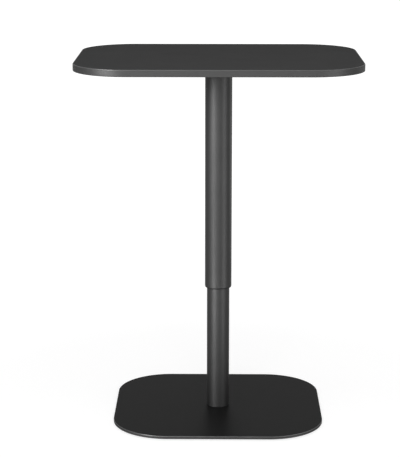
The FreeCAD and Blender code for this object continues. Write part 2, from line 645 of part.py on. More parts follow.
os.makedirs("parts", exist_ok=True)
PIECES = build()
for node, shape in PIECES.items():
    shape.exportStep(os.path.join("parts", node + ".step"))
    print(f"{node}: {len(shape.Solids)} solid(s), valid {shape.isValid()}, {shape.Volume:.0f} mm3")
print(f"panel {PANEL_TOP:.2f} mm up, travel -{DOWN_TRAVEL:.1f} to +{UP_TRAVEL:.1f} mm")
print(f"lever turns {math.degrees(LEVER_ANGLE):.3f} degrees")
print(f"lever pivot at x {LEVER_PIVOT_X:.2f}, z {LEVER_LEVEL:.2f}")
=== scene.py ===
# %% [markdown]
# # A telescoping pedestal table
# The table is a rounded panel on a column of two tubes, and the column stands on a thin steel plate. Its
# measured solids come in as a fixed frame, in metres, with the floor at zero height and the front towards
# minus Y. The solids stay where they are. This lesson gives each of them the finish of its real material,
# and makes again the pieces that gain from a finer mesh: the panel, the floor plate, the screws, the
# glides and the bush at the end of the upper tube. It also adds two small things that the solids leave
# out, the weld under the panel and the ribs of the lever's grip.

# %% Load the table's solids
import bpy
import bmesh
import json
import math
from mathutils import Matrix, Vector


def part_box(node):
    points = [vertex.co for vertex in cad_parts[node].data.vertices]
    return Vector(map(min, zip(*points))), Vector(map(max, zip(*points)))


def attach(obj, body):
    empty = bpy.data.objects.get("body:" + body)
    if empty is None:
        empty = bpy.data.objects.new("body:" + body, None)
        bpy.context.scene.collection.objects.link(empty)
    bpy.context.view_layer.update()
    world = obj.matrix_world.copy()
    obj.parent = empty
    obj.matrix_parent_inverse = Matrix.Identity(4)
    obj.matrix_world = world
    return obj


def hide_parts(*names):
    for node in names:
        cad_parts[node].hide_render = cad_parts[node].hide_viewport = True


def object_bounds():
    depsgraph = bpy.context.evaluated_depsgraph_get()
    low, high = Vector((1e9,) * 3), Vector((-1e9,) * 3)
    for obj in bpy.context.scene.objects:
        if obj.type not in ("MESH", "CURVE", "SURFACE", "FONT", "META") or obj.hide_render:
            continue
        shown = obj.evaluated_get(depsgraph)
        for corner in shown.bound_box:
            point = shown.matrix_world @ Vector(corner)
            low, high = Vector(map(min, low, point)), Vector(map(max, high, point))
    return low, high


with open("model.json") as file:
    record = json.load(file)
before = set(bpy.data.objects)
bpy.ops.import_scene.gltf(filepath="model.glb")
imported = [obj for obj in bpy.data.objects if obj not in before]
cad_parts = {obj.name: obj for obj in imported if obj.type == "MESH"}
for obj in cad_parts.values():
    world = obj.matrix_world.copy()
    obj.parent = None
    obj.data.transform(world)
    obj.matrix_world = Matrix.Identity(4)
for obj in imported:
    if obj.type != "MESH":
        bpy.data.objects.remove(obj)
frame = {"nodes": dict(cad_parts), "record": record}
solids = frame["nodes"]
solid_low, solid_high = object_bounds()
MM = 0.001
print("box of the solids in mm:", [round(v / MM, 1) for v in solid_high - solid_low])

# %% [markdown]
# ## Three small helpers
# A paint chart gives a colour as an sRGB hex value, but Blender mixes light in linear numbers, so one
# function does that change for every colour here. The next adds a node to any tree, sets its properties
# and loose inputs, and links the rest, which keeps each finish below short enough to read. Most links
# start at a node's first output, so a node may stand for it. The last helper puts an object in the scene,
# because a new object is in none until it is linked to a collection.

# %% A colour, a node and an object
def srgb(code):
    """Turn a hex colour into the linear colour that Blender works in."""
    parts = [int(code[i:i + 2], 16) / 255 for i in (1, 3, 5)]
    linear = [p / 12.92 if p <= 0.04045 else ((p + 0.055) / 1.055) ** 2.4 for p in parts]
    return (*linear, 1.0)


def add(tree, kind, links=None, values=None, **settings):
    """Add one node, set its properties and loose inputs, and link the others, from a socket or a node."""
    made = tree.nodes.new(kind)
    for name, value in settings.items():
        setattr(made, name, value)
    for socket, value in (values or {}).items():
        made.inputs[socket].default_value = value
    for socket, source in (links or {}).items():
        if isinstance(source, bpy.types.Node):
            source = source.outputs[0]
        tree.links.new(source, made.inputs[socket])
    return made


def stand(name, data):
    """Make an object of its data, and put it in the scene."""
    made = bpy.data.objects.new(name, data)
    bpy.context.scene.collection.objects.link(made)
    return made


print("a powder coat of #2f2f2f is", [round(c, 4) for c in srgb("#2f2f2f")], "in linear light")

# %% [markdown]
# ## Camera
# The table is seen from the front, from a little above the panel, through a long lens. The lens, distance
# and height were found by laying the outlines of the panel and the plate over the picture. The camera
# tips down instead of shifting its frame, so that it can go round the table and keep it in view.

# %% Camera in front of the table
LENS_MM = 125.0
CAMERA_PLACE = (0.0, -3.473, 1.231)
TIPPED_DOWN = math.radians(13.09)
TURNED_LEFT = math.radians(0.68)

lens = bpy.data.cameras.new("table_camera")
lens.lens = LENS_MM
camera = stand("table_camera", lens)
camera.location = CAMERA_PLACE
camera.rotation_euler = (math.pi / 2 - TIPPED_DOWN, 0.0, TURNED_LEFT)
bpy.context.scene.camera = camera
bpy.context.scene.view_settings.view_transform = "Standard"
print("camera at", CAMERA_PLACE, "with a", LENS_MM, "mm lens")

# %% [markdown]
# ## White room
# The background is white, but the light that falls on a black table must stay plain, or the black turns
# grey. Light Path tells what kind of ray asks for the colour: the camera's own rays, and those that come
# off a shiny surface or through a clear one, find white, and the rest find a soft grey that lights the
# room.

# %% World
AMBIENT = 0.40


def finds_white(tree):
    """One for rays from the camera, off a shiny surface or through a clear one, and zero for the rest."""
    rays = add(tree, "ShaderNodeLightPath").outputs
    seen = add(tree, "ShaderNodeMath", {0: rays["Is Camera Ray"], 1: rays["Is Glossy Ray"]},
               operation="MAXIMUM")
    return add(tree, "ShaderNodeMath", {0: seen, 1: rays["Is Transmission Ray"]}, operation="MAXIMUM")


world = bpy.data.worlds.new("white_room")
world.use_nodes = True
world.node_tree.nodes.clear()
room = world.node_tree
soft_grey = add(room, "ShaderNodeBackground", values={"Color": srgb("#ffffff"), "Strength": AMBIENT})
white = add(room, "ShaderNodeBackground", values={"Color": srgb("#ffffff"), "Strength": 1.0})
sky = add(room, "ShaderNodeMixShader", {0: finds_white(room), 1: soft_grey, 2: white})
add(room, "ShaderNodeOutputWorld", {"Surface": sky})
bpy.context.scene.world = world
print("room lights the table at", AMBIENT, "of white")

# %% [markdown]
# ## Floor
# The floor is a pale painted sheet. Close to the table it is part glow and part paint, so it reads as
# white and still keeps the soft shadow of the plate. Further out the glow takes over, so that no edge
# shows.

# %% Floor
FLOOR_HALF = 30.0
SHADOW_REACH = 0.6
GLOW_REACH = 2.2
NEAR_GLOW = 0.80


def blank_finish(name):
    """Start an empty material, and return it with its tree and the piece's own coordinates."""
    material = bpy.data.materials.new(name)
    material.use_nodes = True
    material.node_tree.nodes.clear()
    place = add(material.node_tree, "ShaderNodeTexCoord").outputs["Object"]
    return material, material.node_tree, place


floor_mesh = bpy.data.meshes.new("pale_floor")
floor_mesh.from_pydata([(-FLOOR_HALF, -FLOOR_HALF, 0), (FLOOR_HALF, -FLOOR_HALF, 0),
                        (FLOOR_HALF, FLOOR_HALF, 0), (-FLOOR_HALF, FLOOR_HALF, 0)], [], [(0, 1, 2, 3)])
floor = stand("pale_floor", floor_mesh)
paint, tree, place = blank_finish("pale_floor_paint")
away = add(tree, "ShaderNodeVectorMath", {0: place}, operation="LENGTH")
glow = add(tree, "ShaderNodeMapRange", {"Value": away.outputs["Value"]},
           {"From Min": SHADOW_REACH, "From Max": GLOW_REACH, "To Min": NEAR_GLOW, "To Max": 1.0})
shine = add(tree, "ShaderNodeEmission", {"Strength": glow}, {"Color": srgb("#ffffff")})
thin_coat = add(tree, "ShaderNodeBsdfDiffuse", values={"Color": srgb("#989898")})
full_coat = add(tree, "ShaderNodeBsdfDiffuse", values={"Color": srgb("#e6e6e4")})
both = add(tree, "ShaderNodeAddShader", {0: shine, 1: thin_coat})
mixed = add(tree, "ShaderNodeMixShader", {0: finds_white(tree), 1: full_coat, 2: both})
add(tree, "ShaderNodeOutputMaterial", {"Surface": mixed})
floor_mesh.materials.append(paint)
print("floor is", 2 * FLOOR_HALF, "m across")

# %% [markdown]
# ## Lamps
# A black satin table is drawn by what it mirrors. The main strip hangs in front on the left, higher than
# the panel, so it lights the panel's corner and the long streak on the column, and the panel keeps it off
# the column's top, which stays dark. Low strips carry the streak on down to the plate, and a tall one on
# the right draws the fainter second streak. Strips light the gloss alone, so the black stays black. A
# broad softbox in front and one overhead light the faces at a plain level, and a small one behind on the
# right picks out the column's far side.

# %% Softboxes
def softbox(name, place, aim, width, height, brightness, gloss_only=False):
    """Hang one rectangular lamp; brightness is how many times whiter than white its face is."""
    lamp = bpy.data.lights.new(name, "AREA")
    lamp.shape = "RECTANGLE"
    lamp.size = width
    lamp.size_y = height
    lamp.energy = brightness * math.pi * width * height
    hung = stand(name, lamp)
    hung.location = place
    hung.rotation_euler = (Vector(aim) - Vector(place)).to_track_quat("-Z", "Y").to_euler()
    hung.visible_camera = False
    hung.visible_diffuse = not gloss_only
    print(f"{name}: {lamp.energy:.1f} W")


softbox("left_high_strip", (-0.93, -0.93, 1.17), (0, 0, 0.90), 0.42, 0.58, 132.0, gloss_only=True)
softbox("left_low_strip", (-0.93, -0.93, 0.16), (0, 0, 0.16), 0.42, 0.26, 12.0, gloss_only=True)
softbox("left_foot_strip", (-0.38, -0.49, 0.10), (0, 0, 0.16), 0.16, 0.20, 20.0, gloss_only=True)
softbox("front_foot_strip", (-0.10, -0.70, 0.14), (0, 0, 0.18), 0.40, 0.26, 2.6, gloss_only=True)
softbox("right_strip", (1.00, -0.84, 0.72), (0, 0, 0.72), 0.46, 1.30, 6.2, gloss_only=True)
softbox("right_foot_strip", (0.48, -0.40, 0.14), (0, 0, 0.20), 0.17, 0.28, 6.0, gloss_only=True)
softbox("front_softbox", (-0.10, -1.49, 1.07), (0, 0, 0.60), 1.0, 0.7, 5.6)
softbox("overhead_softbox", (0.0, -0.3, 2.6), (0, 0, 0.40), 1.8, 1.6, 1.5)
softbox("rear_softbox", (1.75, 1.40, 0.22), (0, 0, 0.30), 0.4, 0.4, 13.0)

# %% [markdown]
# ## How a finish is made
# Every finish below reads the piece's own coordinates, which are metres here. A pattern of a given size
# repeats once in that many millimetres, so its scale is a thousand over the size. Patterns finer than a
# pixel are drawn a little coarser than life, and the comments say so. Each finish ends alike, so one
# function makes its colour, gloss and relief from its patterns and joins them in a shader. In a Mix node
# that mixes colours, the two colours are inputs 6 and 7, and the result is output 2.

# %% End a finish
def per_mm(size):
    """Scale of a pattern whose features are this many millimetres across."""
    return 1.0 / (size * MM)


def end_finish(material, tone, gloss, relief, constants, painted_highlight=None):
    """Run tone and gloss between two values by their patterns, add relief with its depth in mm, and join."""
    tree = material.node_tree
    pattern, dark, pale = tone
    colour = add(tree, "ShaderNodeMix", {"Factor": pattern},
                 {6: srgb(dark), 7: srgb(pale)}, data_type="RGBA")
    # An optional second tone is a painted highlight, mixed over the colour where its pattern is high.
    if painted_highlight:
        pattern, highlight_tone = painted_highlight
        colour = add(tree, "ShaderNodeMix", {"Factor": pattern, 6: colour.outputs[2]}, {7: srgb(highlight_tone)},
                     data_type="RGBA")
    pattern, low, high = gloss
    rough = add(tree, "ShaderNodeMapRange", {"Value": pattern}, {"To Min": low, "To Max": high})
    links = {"Base Color": colour.outputs[2], "Roughness": rough}
    if relief:
        pattern, strength, depth = relief
        links["Normal"] = add(tree, "ShaderNodeBump", {"Height": pattern},
                              {"Strength": strength, "Distance": depth * MM})
    shader = add(tree, "ShaderNodeBsdfPrincipled", links, constants)
    add(tree, "ShaderNodeOutputMaterial", {"Surface": shader})
    print(f"{material.name}: {len(tree.nodes)} nodes")


print("a 2 mm pattern has scale", per_mm(2.0))

# %% [markdown]
# ## Powder coat on the column
# The tubes are steel, sprayed with charged black powder that melts in an oven. The melt draws itself into
# a faint orange peel and sets with a satin skin, so the streaks of light on the column have soft sides. A
# plain plastic shader turns white where a tube curves out of sight, and this coat stays dark there. A
# mostly metallic shader with a greyed edge tint does the same, so it stands in for the powder's rough,
# light-trapping skin.

# %% Black powder coat
# Orange peel is about a millimetre across on thin coats. It is drawn at 2.4 mm so that it shows at all.
coat, tree, place = blank_finish("satin_powder_coat")
cloud = add(tree, "ShaderNodeTexNoise", {"Vector": place}, {"Scale": per_mm(45.0), "Detail": 3.0})
peel = add(tree, "ShaderNodeTexNoise", {"Vector": place}, {"Scale": per_mm(2.4), "Detail": 2.0})
end_finish(coat, tone=(cloud, "#2f2f2f", "#353535"), gloss=(peel, 0.42, 0.52), relief=(peel, 0.25, 0.03),
           constants={"Specular IOR Level": 0.12, "Metallic": 0.9, "Specular Tint": srgb("#cccccc")})

# %% [markdown]
# ## Matt powder coat on the plate
# The plate is laser-cut steel under the same black, but in a matter powder that hides scuffs from shoes.
# It takes the light as a flat, deep black with a short, blurred mirror image of the column's foot. Grit
# in the gloss and in the relief breaks that image up, where one roughness for all of the plate would look
# like smooth plastic.

# %% Matt powder coat
# The grit is under a millimetre, and is drawn at 1.6 mm.
plate_coat, tree, place = blank_finish("matt_powder_coat")
cloud = add(tree, "ShaderNodeTexNoise", {"Vector": place}, {"Scale": per_mm(70.0), "Detail": 3.0})
grit = add(tree, "ShaderNodeTexNoise", {"Vector": place}, {"Scale": per_mm(1.6), "Detail": 3.0})
end_finish(plate_coat, tone=(cloud, "#131313", "#171717"), gloss=(grit, 0.42, 0.50),
           relief=(grit, 0.5, 0.03), constants={"IOR": 1.5, "Specular IOR Level": 0.02})

# %% [markdown]
# ## Laminate on the panel
# The panel is board, faced on both sides with paper pressed in resin against a finely textured steel
# sheet. The face is a dry, even charcoal black. Nearly all the light that it sends back is scattered, so
# it looks alike from every side, and it takes a soft sheen only against the light and at a low angle. A
# texture of cells gives the pressed grain, because a noise is too cloudy for it.

# %% Matt black laminate
# The pressed grain is a few tenths of a millimetre, and is drawn at 1.4 mm.
laminate, tree, place = blank_finish("matt_black_laminate")
cloud = add(tree, "ShaderNodeTexNoise", {"Vector": place}, {"Scale": per_mm(90.0), "Detail": 4.0})
pressed = add(tree, "ShaderNodeTexVoronoi", {"Vector": place}, {"Scale": per_mm(1.4)})
end_finish(laminate, tone=(cloud, "#3d3d3d", "#434343"), gloss=(pressed, 0.70, 0.80),
           relief=(pressed, 0.4, 0.03), constants={"IOR": 1.5, "Specular IOR Level": 0.0015})

# %% [markdown]
# ## Edge band of the panel
# A strip of black ABS is glued round the board and trimmed flush, then its arrises are rounded. It comes
# out of a die, so faint lines run along it, and it is a little glossier and paler than the laminate. A
# small metallic share takes the place of most of the plastic's mirror, which would turn the panel's round
# ends too pale. A noise that is stretched along the edge gives the lines.

# %% Black ABS edge band
# The lines are a few tenths of a millimetre apart, and are drawn at 0.9 mm.
# The band's top arris, from 1.3 to 0.5 mm below the panel's top, is painted paler as a painted highlight.
BAND_HIGHLIGHT_FROM = 1.3
BAND_HIGHLIGHT_TO = 0.5
band_plastic, tree, place = blank_finish("black_abs_edge_band")
lines = add(tree, "ShaderNodeMapping", {"Vector": place},
            {"Scale": (per_mm(50.0), per_mm(50.0), per_mm(0.9))})
drawn = add(tree, "ShaderNodeTexNoise", {"Vector": lines}, {"Scale": 1.0, "Detail": 2.0})
height = add(tree, "ShaderNodeSeparateXYZ", {"Vector": place}).outputs["Z"]
band_highlight = add(tree, "ShaderNodeMapRange", {"Value": height},
             {"From Min": solid_high.z - BAND_HIGHLIGHT_FROM * MM,
              "From Max": solid_high.z - BAND_HIGHLIGHT_TO * MM})
end_finish(band_plastic, tone=(drawn, "#444444", "#4c4c4c"), gloss=(drawn, 0.40, 0.48),
           relief=(drawn, 0.1, 0.004), painted_highlight=(band_highlight, "#5c5c5c"),
           constants={"IOR": 1.53, "Specular IOR Level": 0.015, "Metallic": 0.18,
                      "Specular Tint": srgb("#808080")})

# %% [markdown]
# ## Thin coat and painted light on the plate's cut edge
# Melting powder draws back from a cut edge, so the coat is thinner there, and a little glossier than on the
# faces. Its paler tone is partly that thin coat and partly painted light that the upright edge catches. A
# still paler band along its top is a painted highlight, the fine light line all round. Steel shows through
# it a little, so it has a metallic share. It is a finish of its own, because only the rim wears it.

# %% Thin powder coat with painted light
# The coat pools in soft patches of about 6 mm. The grit is under a millimetre, and is drawn at 1.6 mm.
# The band from 1.0 to 0.3 mm below the plate's top is painted paler, a painted highlight along the arris.
RIM_HIGHLIGHT_FROM = 1.0
RIM_HIGHLIGHT_TO = 0.3
painted_lit_edge_coat, tree, place = blank_finish("thin_coat_painted_lit_edge")
patch = add(tree, "ShaderNodeTexNoise", {"Vector": place}, {"Scale": per_mm(6.0), "Detail": 3.0})
plate_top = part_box("base_plate")[1].z
height = add(tree, "ShaderNodeSeparateXYZ", {"Vector": place}).outputs["Z"]
painted_highlight = add(tree, "ShaderNodeMapRange", {"Value": height},
           {"From Min": plate_top - RIM_HIGHLIGHT_FROM * MM, "From Max": plate_top - RIM_HIGHLIGHT_TO * MM})
grit = add(tree, "ShaderNodeTexNoise", {"Vector": place}, {"Scale": per_mm(1.6), "Detail": 2.0})
# The edge's paler tone is partly the thin coat and partly painted light on the upright edge.
end_finish(painted_lit_edge_coat, tone=(patch, "#434343", "#4b4b4b"), gloss=(grit, 0.34, 0.44), relief=(grit, 0.4, 0.02),
           painted_highlight=(painted_highlight, "#646464"),
           constants={"IOR": 1.5, "Specular IOR Level": 0.02, "Metallic": 0.4,
                      "Specular Tint": srgb("#808080")})

# %% [markdown]
# ## Zinc-plated screws
# Screws, the nut, the lever's pin and its clips are steel, plated with zinc in a bath and then
# passivated. The metal is pale, with a cool sheen, and the bath leaves cloudy stains a few millimetres
# wide. The stains drive the colour and a finer grain drives the gloss.

# %% Zinc plate
# The grain is finer than a tenth of a millimetre, and is drawn at 0.5 mm.
zinc, tree, place = blank_finish("zinc_plated_steel")
stain = add(tree, "ShaderNodeTexNoise", {"Vector": place},
            {"Scale": per_mm(4.0), "Detail": 4.0, "Distortion": 0.6})
grain = add(tree, "ShaderNodeTexNoise", {"Vector": place}, {"Scale": per_mm(0.5), "Detail": 2.0})
end_finish(zinc, tone=(stain, "#aeb5c0", "#cdcbc0"), gloss=(grain, 0.26, 0.42), relief=(grain, 0.3, 0.02),
           constants={"Metallic": 1.0})

# %% [markdown]
# ## Turned steel
# The foot plug, the rod's anchor, the cylinder's end plug and the release pin come off a lathe and stay
# bare. The tool leaves fine rings, one above the other, which catch the light as bands. A wave texture
# along the upright axis gives the rings, and a cloud of light oil stains keeps the grey from being even.

# %% Turned steel
# The tool moves about 0.15 mm a turn, and the rings are drawn 0.8 mm apart so that they show.
# A wave texture repeats every pi over ten units, so its scale is that length over the spacing.
WAVE_LENGTH = math.pi / 10
turned_steel, tree, place = blank_finish("turned_bare_steel")
rings = add(tree, "ShaderNodeTexWave", {"Vector": place},
            {"Scale": WAVE_LENGTH * per_mm(0.8), "Distortion": 0.4}, bands_direction="Z").outputs["Fac"]
stain = add(tree, "ShaderNodeTexNoise", {"Vector": place}, {"Scale": per_mm(9.0), "Detail": 3.0})
end_finish(turned_steel, tone=(stain, "#8b8985", "#a9a8a5"), gloss=(rings, 0.28, 0.44),
           relief=(rings, 0.4, 0.02), constants={"Metallic": 1.0})

# %% [markdown]
# ## Hard chrome on the rod
# The piston rod is ground, plated with hard chrome and polished, so that the seal runs on it without
# wear. It mirrors its surroundings, and only the faintest polishing lines run round it. A noise squeezed
# along the rod drives the gloss, and there is no relief to feel.

# %% Hard chrome
# Polishing lines are a few hundredths of a millimetre wide, and are drawn at 0.5 mm.
chrome, tree, place = blank_finish("polished_hard_chrome")
lines = add(tree, "ShaderNodeMapping", {"Vector": place},
            {"Scale": (per_mm(60.0), per_mm(60.0), per_mm(0.5))})
polish = add(tree, "ShaderNodeTexNoise", {"Vector": lines}, {"Scale": 1.0, "Detail": 3.0})
end_finish(chrome, tone=(polish, "#c0c3c6", "#cccfd2"), gloss=(polish, 0.06, 0.14), relief=None,
           constants={"Metallic": 1.0})

# %% [markdown]
# ## Enamel on the gas cylinder
# The cylinder is sprayed with black stoving enamel. It is glossier than the powder on the tubes, and a
# spray gun leaves a slightly wavy skin, so its mirror image wobbles. A soft noise in the relief does
# that, and it needs no finer pattern.

# %% Black stoving enamel
enamel, tree, place = blank_finish("black_stoving_enamel")
cloud = add(tree, "ShaderNodeTexNoise", {"Vector": place}, {"Scale": per_mm(25.0), "Detail": 3.0})
skin = add(tree, "ShaderNodeTexNoise", {"Vector": place}, {"Scale": per_mm(3.0), "Detail": 1.0})
end_finish(enamel, tone=(cloud, "#1a1a1b", "#222223"), gloss=(skin, 0.18, 0.28), relief=(skin, 0.4, 0.03),
           constants={"IOR": 1.52, "Specular IOR Level": 0.5})

# %% [markdown]
# ## Turned aluminium
# The rod's guide and the piston are turned from aluminium bar and left bare. The metal is whiter and
# softer than steel, so the tool's rings are deeper and the gloss between them is duller. It takes the
# same wave as the steel, set wider.

# %% Turned aluminium
# The rings are about 0.2 mm apart, and are drawn 1 mm apart.
aluminium, tree, place = blank_finish("turned_aluminium")
rings = add(tree, "ShaderNodeTexWave", {"Vector": place},
            {"Scale": WAVE_LENGTH * per_mm(1.0), "Distortion": 0.3}, bands_direction="Z").outputs["Fac"]
bloom = add(tree, "ShaderNodeTexNoise", {"Vector": place}, {"Scale": per_mm(5.0), "Detail": 3.0})
end_finish(aluminium, tone=(bloom, "#c2c4c6", "#d8dadb"), gloss=(rings, 0.32, 0.48),
           relief=(rings, 0.5, 0.03), constants={"Metallic": 1.0})

# %% [markdown]
# ## Brass inserts
# The threaded inserts in the panel are turned from brass rod. Brass tarnishes where hands and glue touch
# it, so browner patches lie over the yellow, and they are duller too. One noise drives colour and gloss
# together for that reason.

# %% Turned brass
brass, tree, place = blank_finish("turned_brass")
tarnish = add(tree, "ShaderNodeTexNoise", {"Vector": place}, {"Scale": per_mm(3.0), "Detail": 4.0})
end_finish(brass, tone=(tarnish, "#a98545", "#d6b869"), gloss=(tarnish, 0.42, 0.24), relief=None,
           constants={"Metallic": 1.0})

# %% [markdown]
# ## Acetal bushes
# The bushes that the tubes run on are moulded in black acetal, a slippery plastic with a dull, slightly
# waxy face. The mouth of the lower bush is the thin dark ring at the end of the upper tube. A noise with
# some distortion looks like plastic that has flowed into a mould.

# %% Black acetal
# The haze comes from the mould's fine grain, and is drawn at 0.8 mm.
acetal, tree, place = blank_finish("moulded_black_acetal")
flow = add(tree, "ShaderNodeTexNoise", {"Vector": place},
           {"Scale": per_mm(12.0), "Detail": 2.0, "Distortion": 1.0})
haze = add(tree, "ShaderNodeTexNoise", {"Vector": place}, {"Scale": per_mm(0.8), "Detail": 2.0})
end_finish(acetal, tone=(flow, "#0e0e0f", "#141415"), gloss=(haze, 0.50, 0.62), relief=(haze, 0.3, 0.02),
           constants={"IOR": 1.48, "Specular IOR Level": 0.2})

# %% [markdown]
# ## Nylon grip
# The lever's grip is moulded in nylon with glass fibre. The mould is eroded by sparks, which leaves a
# fine, pebbled texture that fingers can hold. A texture of cells gives the pebbles, and the distance to a
# cell's middle drives both the relief and the gloss.

# %% Textured nylon
# The pebbles are about 0.3 mm across, and are drawn at 0.9 mm.
nylon, tree, place = blank_finish("textured_glass_filled_nylon")
fibre = add(tree, "ShaderNodeTexNoise", {"Vector": place}, {"Scale": per_mm(8.0), "Detail": 4.0})
pebble = add(tree, "ShaderNodeTexVoronoi", {"Vector": place}, {"Scale": per_mm(0.9)})
end_finish(nylon, tone=(fibre, "#1c1c1d", "#262627"), gloss=(pebble, 0.48, 0.62), relief=(pebble, 0.6, 0.06),
           constants={"IOR": 1.53, "Specular IOR Level": 0.35})

# %% [markdown]
# ## Nylon glides
# The glides are moulded in plain nylon, which slides on a hard floor and doesn't mark it. The plastic is
# a worn dark grey: long, fine scuffs lie on it in the ways that the table has been pushed. A noise
# stretched one way and turned a little gives them.

# %% Scuffed nylon
# Scuffs are some tenths of a millimetre wide and centimetres long, and are drawn 1 mm wide.
glide_plastic, tree, place = blank_finish("scuffed_nylon")
pushed = add(tree, "ShaderNodeMapping", {"Vector": place},
             {"Rotation": (0.0, 0.0, math.radians(25)),
              "Scale": (per_mm(30.0), per_mm(1.0), per_mm(4.0))})
scuffs = add(tree, "ShaderNodeTexNoise", {"Vector": pushed}, {"Scale": 1.0, "Detail": 3.0})
end_finish(glide_plastic, tone=(scuffs, "#202021", "#343435"), gloss=(scuffs, 0.42, 0.62),
           relief=(scuffs, 0.4, 0.03), constants={"IOR": 1.53, "Specular IOR Level": 0.4})

# %% [markdown]
# ## Rubber seals
# The rod's seal, the piston's ring and the stop bumper are nitrile rubber. It is matt and dusty, with a
# fine grain from the mould, and shows hardly any streak of light. Two noises are enough, dust in the
# colour and grain in the gloss.

# %% Nitrile rubber
# The grain is about 0.2 mm across, and is drawn at 0.6 mm.
rubber, tree, place = blank_finish("nitrile_rubber")
dust = add(tree, "ShaderNodeTexNoise", {"Vector": place}, {"Scale": per_mm(6.0), "Detail": 4.0})
grain = add(tree, "ShaderNodeTexNoise", {"Vector": place}, {"Scale": per_mm(0.6), "Detail": 2.0})
end_finish(rubber, tone=(dust, "#191919", "#232322"), gloss=(grain, 0.74, 0.90), relief=(grain, 0.5, 0.04),
           constants={"IOR": 1.52, "Specular IOR Level": 0.3})

# %% [markdown]
# ## Growing pieces with Geometry Nodes
# The panel and the plate are one rule, a rounded rectangle with a shaped rim, and the screws, glides and
# ribs are one shape set out many times. Geometry Nodes suit both: a tree holds the rule, its inputs hold
# the sizes, and the result is kept as a plain mesh. Weighted normals then let large flat faces shade flat
# beside a narrow round arris, as a well made edge does.

# %% Start and end a tree
def new_tree(name, sockets):
    """Start a tree with named inputs, and return it with the sockets that bring those inputs in."""
    tree = bpy.data.node_groups.new(name, "GeometryNodeTree")
    tree.is_modifier = True
    for label, kind in sockets.items():
        tree.interface.new_socket(label, in_out="INPUT", socket_type="NodeSocket" + kind)
    tree.interface.new_socket("Geometry", in_out="OUTPUT", socket_type="NodeSocketGeometry")
    return tree, add(tree, "NodeGroupInput").outputs


def end_tree(tree, shape, finish):
    """End a tree: make its instances real, give them their finish and send them out."""
    real = add(tree, "GeometryNodeRealizeInstances", {"Geometry": shape})
    finished = add(tree, "GeometryNodeSetMaterial", {"Geometry": real, "Material": finish})
    add(tree, "NodeGroupOutput", {"Geometry": finished})
    print("tree", tree.name, "has", len(tree.nodes), "nodes")


print("trees so far:", len(bpy.data.node_groups))

# %% Keep what a tree grows
MERGE = 0.002
SLIVER = 0.001


def settled(piece):
    """The mesh that a piece's modifiers make, as a plain mesh of its own."""
    graph = bpy.context.evaluated_depsgraph_get()
    return bpy.data.meshes.new_from_object(piece.evaluated_get(graph), depsgraph=graph)


def grow(name, tree, sizes, sharp_from=35):
    """Run a tree with these sizes, and keep its result as a clean plain mesh."""
    piece = stand(name, bpy.data.meshes.new(name))
    growth = piece.modifiers.new("growth", "NODES")
    growth.node_group = tree
    for socket in tree.interface.items_tree:
        if socket.in_out == "INPUT" and socket.name in sizes:
            growth[socket.identifier] = sizes[socket.name]
    grown = settled(piece)
    piece.modifiers.clear()
    for slot in reversed(range(len(grown.materials))):
        if grown.materials[slot] is None:
            grown.materials.pop(index=slot)
    made = bmesh.new()
    made.from_mesh(grown)
    bmesh.ops.remove_doubles(made, verts=made.verts, dist=MERGE * MM)
    bmesh.ops.dissolve_degenerate(made, edges=made.edges, dist=SLIVER * MM)
    bmesh.ops.recalc_face_normals(made, faces=made.faces)
    open_edges = sum(not edge.is_manifold for edge in made.edges)
    made.to_mesh(grown)
    made.free()
    grown.shade_smooth()
    grown.set_sharp_from_angle(angle=math.radians(sharp_from))
    piece.data = grown
    piece.modifiers.new("weights", "WEIGHTED_NORMAL").keep_sharp = True
    piece.data = settled(piece)
    piece.modifiers.clear()
    piece.data.name = name
    ways = [[vertex.co[i] / MM for vertex in piece.data.vertices] for i in range(3)]
    print(f"{name}: {len(piece.data.polygons)} faces, {open_edges} open edges, mm",
          [round(max(way) - min(way), 2) for way in ways], [m.name for m in piece.data.materials])
    return piece


print("points closer than", MERGE, "mm are merged in every piece")

# %% [markdown]
# ## Turned shapes in rows
# A screw, a glide and a drilled pocket are all a half section turned about an upright axis, and they
# stand in rows. The half section is drawn as a line of points, like a maker's sketch. The tree sweeps it
# round a small circle, sinks a six-sided socket where one is wanted, and sets the shape out in columns
# and rows.

# %% Tree for turned shapes in rows
TURNING_CIRCLE = 1.0

turned_rows, size = new_tree("turned_rows", {
    "Section": "Object", "Segments": "Int", "Socketed": "Bool", "Socket Corner": "Float",
    "Socket Depth": "Float", "Socket Level": "Float", "First Place": "Vector", "Columns": "Int",
    "Column Step": "Vector", "Rows": "Int", "Row Step": "Vector", "Finish": "Material"})
drawn = add(turned_rows, "GeometryNodeObjectInfo", {"Object": size["Section"]})
circle = add(turned_rows, "GeometryNodeCurvePrimitiveCircle", {"Resolution": size["Segments"]},
             {"Radius": TURNING_CIRCLE * MM}, mode="RADIUS")
upright = add(turned_rows, "GeometryNodeSetCurveNormal", {"Curve": circle}, mode="Z_UP")
swept = add(turned_rows, "GeometryNodeCurveToMesh",
            {"Curve": upright, "Profile Curve": drawn.outputs["Geometry"]})
closed = add(turned_rows, "GeometryNodeMergeByDistance", {"Geometry": swept}, {"Distance": SLIVER * MM})
key = add(turned_rows, "GeometryNodeMeshCylinder",
          {"Radius": size["Socket Corner"], "Depth": size["Socket Depth"]}, {"Vertices": 6},
          fill_type="NGON")
level = add(turned_rows, "ShaderNodeCombineXYZ", {"Z": size["Socket Level"]})
sunk = add(turned_rows, "GeometryNodeTransform", {"Geometry": key, "Translation": level})
cut = add(turned_rows, "GeometryNodeMeshBoolean", {"Mesh 1": closed, "Mesh 2": sunk},
          operation="DIFFERENCE", solver="EXACT")
shape = add(turned_rows, "GeometryNodeSwitch",
            {"Switch": size["Socketed"], "False": closed, "True": cut},
            input_type="GEOMETRY")
column = add(turned_rows, "GeometryNodeMeshLine", {
    "Count": size["Columns"], "Start Location": size["First Place"], "Offset": size["Column Step"]})
